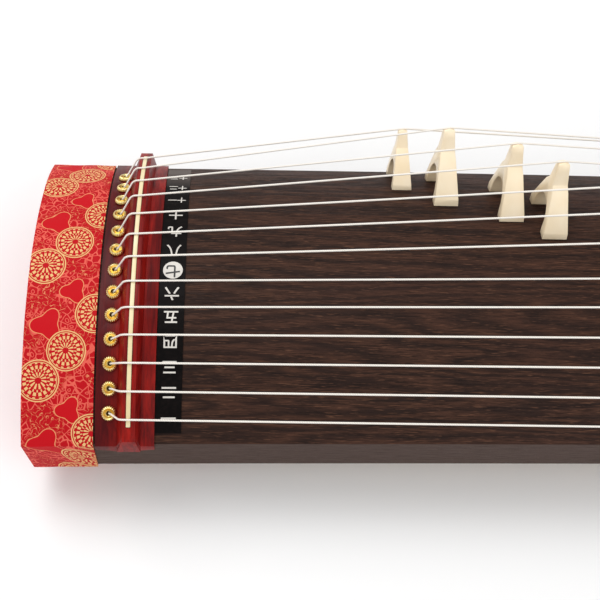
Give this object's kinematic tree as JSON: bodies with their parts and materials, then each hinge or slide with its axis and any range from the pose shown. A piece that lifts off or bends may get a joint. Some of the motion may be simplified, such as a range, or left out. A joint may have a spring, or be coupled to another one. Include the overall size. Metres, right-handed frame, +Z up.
{
  "type": "koto",
  "caption": "Long arched board zither with movable bridges under its strings, metal eyelets, end ridges and a brocade head cover.",
  "frame": {"origin": "under the middle of the instrument, on the surface its feet stand on", "axes": "+X along the strings towards the tail, +Z up, the player's side at -Y"},
  "size_m": [1.825, 0.2666, 0.1879],
  "materials": {
    "burnt_paulownia": "burnt and waxed, satin",
    "plain_paulownia": "plain, unfinished",
    "red_wood": "oiled hardwood, satin",
    "ivory_plastic": "smooth",
    "strip_film": "thin dark film, printed figures",
    "brocade": "woven brocade",
    "cream_plastic": "moulded, smooth",
    "gold_metal": "gold plated",
    "string_fibre": "twisted synthetic fibre"
  },
  "bodies": {
    "koto": {"soundboard": "burnt_paulownia", "back_board": "plain_paulownia", "head_block": "plain_paulownia", "tail_block": "plain_paulownia", "brace_1": "plain_paulownia", "brace_2": "plain_paulownia", "brace_3": "plain_paulownia", "head_panel": "red_wood", "tail_panel": "red_wood", "head_plate": "red_wood", "tail_plate": "red_wood", "head_ridge": "red_wood", "tail_ridge": "red_wood", "head_foot_near": "red_wood", "head_foot_far": "red_wood", "tail_foot_near": "red_wood", "tail_foot_far": "red_wood", "head_saddle": "ivory_plastic", "tail_saddle": "ivory_plastic", "number_strip": "strip_film", "eyelet_01": "gold_metal", "string_01": "string_fibre", "eyelet_02": "gold_metal", "string_02": "string_fibre", "eyelet_03": "gold_metal", "string_03": "string_fibre", "eyelet_04": "gold_metal", "string_04": "string_fibre", "eyelet_05": "gold_metal", "string_05": "string_fibre", "eyelet_06": "gold_metal", "string_06": "string_fibre", "eyelet_07": "gold_metal", "string_07": "string_fibre", "eyelet_08": "gold_metal", "string_08": "string_fibre", "eyelet_09": "gold_metal", "string_09": "string_fibre", "eyelet_10": "gold_metal", "string_10": "string_fibre", "eyelet_11": "gold_metal", "string_11": "string_fibre", "eyelet_12": "gold_metal", "string_12": "string_fibre", "eyelet_13": "gold_metal", "string_13": "string_fibre"},
    "movable_bridge_01": {"bridge_01": "cream_plastic"},
    "movable_bridge_02": {"bridge_02": "cream_plastic"},
    "movable_bridge_03": {"bridge_03": "cream_plastic"},
    "movable_bridge_04": {"bridge_04": "cream_plastic"},
    "movable_bridge_05": {"bridge_05": "cream_plastic"},
    "movable_bridge_06": {"bridge_06": "cream_plastic"},
    "movable_bridge_07": {"bridge_07": "cream_plastic"},
    "movable_bridge_08": {"bridge_08": "cream_plastic"},
    "movable_bridge_09": {"bridge_09": "cream_plastic"},
    "movable_bridge_10": {"bridge_10": "cream_plastic"},
    "movable_bridge_11": {"bridge_11": "cream_plastic"},
    "movable_bridge_12": {"bridge_12": "cream_plastic"},
    "movable_bridge_13": {"bridge_13": "cream_plastic"},
    "cover": {"head_cover": "brocade"}
  },
  "joints": [
    {"name": "bridge_01_slide", "type": "slide", "parent": "koto", "child": "movable_bridge_01", "axis": [0.9999, 0, -0.0163], "range_m": [-0.03, 0.06], "deforming": ["string_01"]},
    {"name": "bridge_02_slide", "type": "slide", "parent": "koto", "child": "movable_bridge_02", "axis": [0.9999, 0, -0.0121], "range_m": [-0.02, 0.04], "deforming": ["string_02"]},
    {"name": "bridge_03_slide", "type": "slide", "parent": "koto", "child": "movable_bridge_03", "axis": [1, 0, -0.0091], "range_m": [-0.014, 0.025], "deforming": ["string_03"]},
    {"name": "bridge_04_slide", "type": "slide", "parent": "koto", "child": "movable_bridge_04", "axis": [1, 0, -0.007], "range_m": [-0.05, 0.014], "deforming": ["string_04"]},
    {"name": "bridge_05_slide", "type": "slide", "parent": "koto", "child": "movable_bridge_05", "axis": [1, 0, -0.0011], "range_m": [-0.014, 0.06], "deforming": ["string_05"]},
    {"name": "bridge_06_slide", "type": "slide", "parent": "koto", "child": "movable_bridge_06", "axis": [1, 0, 0.001], "range_m": [-0.06, 0.014], "deforming": ["string_06"]},
    {"name": "bridge_07_slide", "type": "slide", "parent": "koto", "child": "movable_bridge_07", "axis": [0.9999, 0, 0.0141], "range_m": [-0.028, 0.06], "deforming": ["string_07"]},
    {"name": "bridge_08_slide", "type": "slide", "parent": "koto", "child": "movable_bridge_08", "axis": [0.9999, 0, 0.0171], "range_m": [-0.006, 0.018], "deforming": ["string_08"]},
    {"name": "bridge_09_slide", "type": "slide", "parent": "koto", "child": "movable_bridge_09", "axis": [0.9998, 0, 0.0186], "range_m": [-0.02, 0.006], "deforming": ["string_09"]},
    {"name": "bridge_10_slide", "type": "slide", "parent": "koto", "child": "movable_bridge_10", "axis": [0.9998, 0, 0.0215], "range_m": [-0.004, 0.025], "deforming": ["string_10"]},
    {"name": "bridge_11_slide", "type": "slide", "parent": "koto", "child": "movable_bridge_11", "axis": [0.9997, 0, 0.0228], "range_m": [-0.012, 0.004], "deforming": ["string_11"]},
    {"name": "bridge_12_slide", "type": "slide", "parent": "koto", "child": "movable_bridge_12", "axis": [0.9997, 0, 0.0249], "range_m": [-0.005, 0.014], "deforming": ["string_12"]},
    {"name": "bridge_13_slide", "type": "slide", "parent": "koto", "child": "movable_bridge_13", "axis": [0.9997, 0, 0.0263], "range_m": [-0.04, 0.005], "deforming": ["string_13"]},
    {"name": "cover_pull", "type": "slide", "parent": "koto", "child": "cover", "axis": [-0.9993, 0, -0.0374], "range_m": [0, 0.09]}
  ]
}
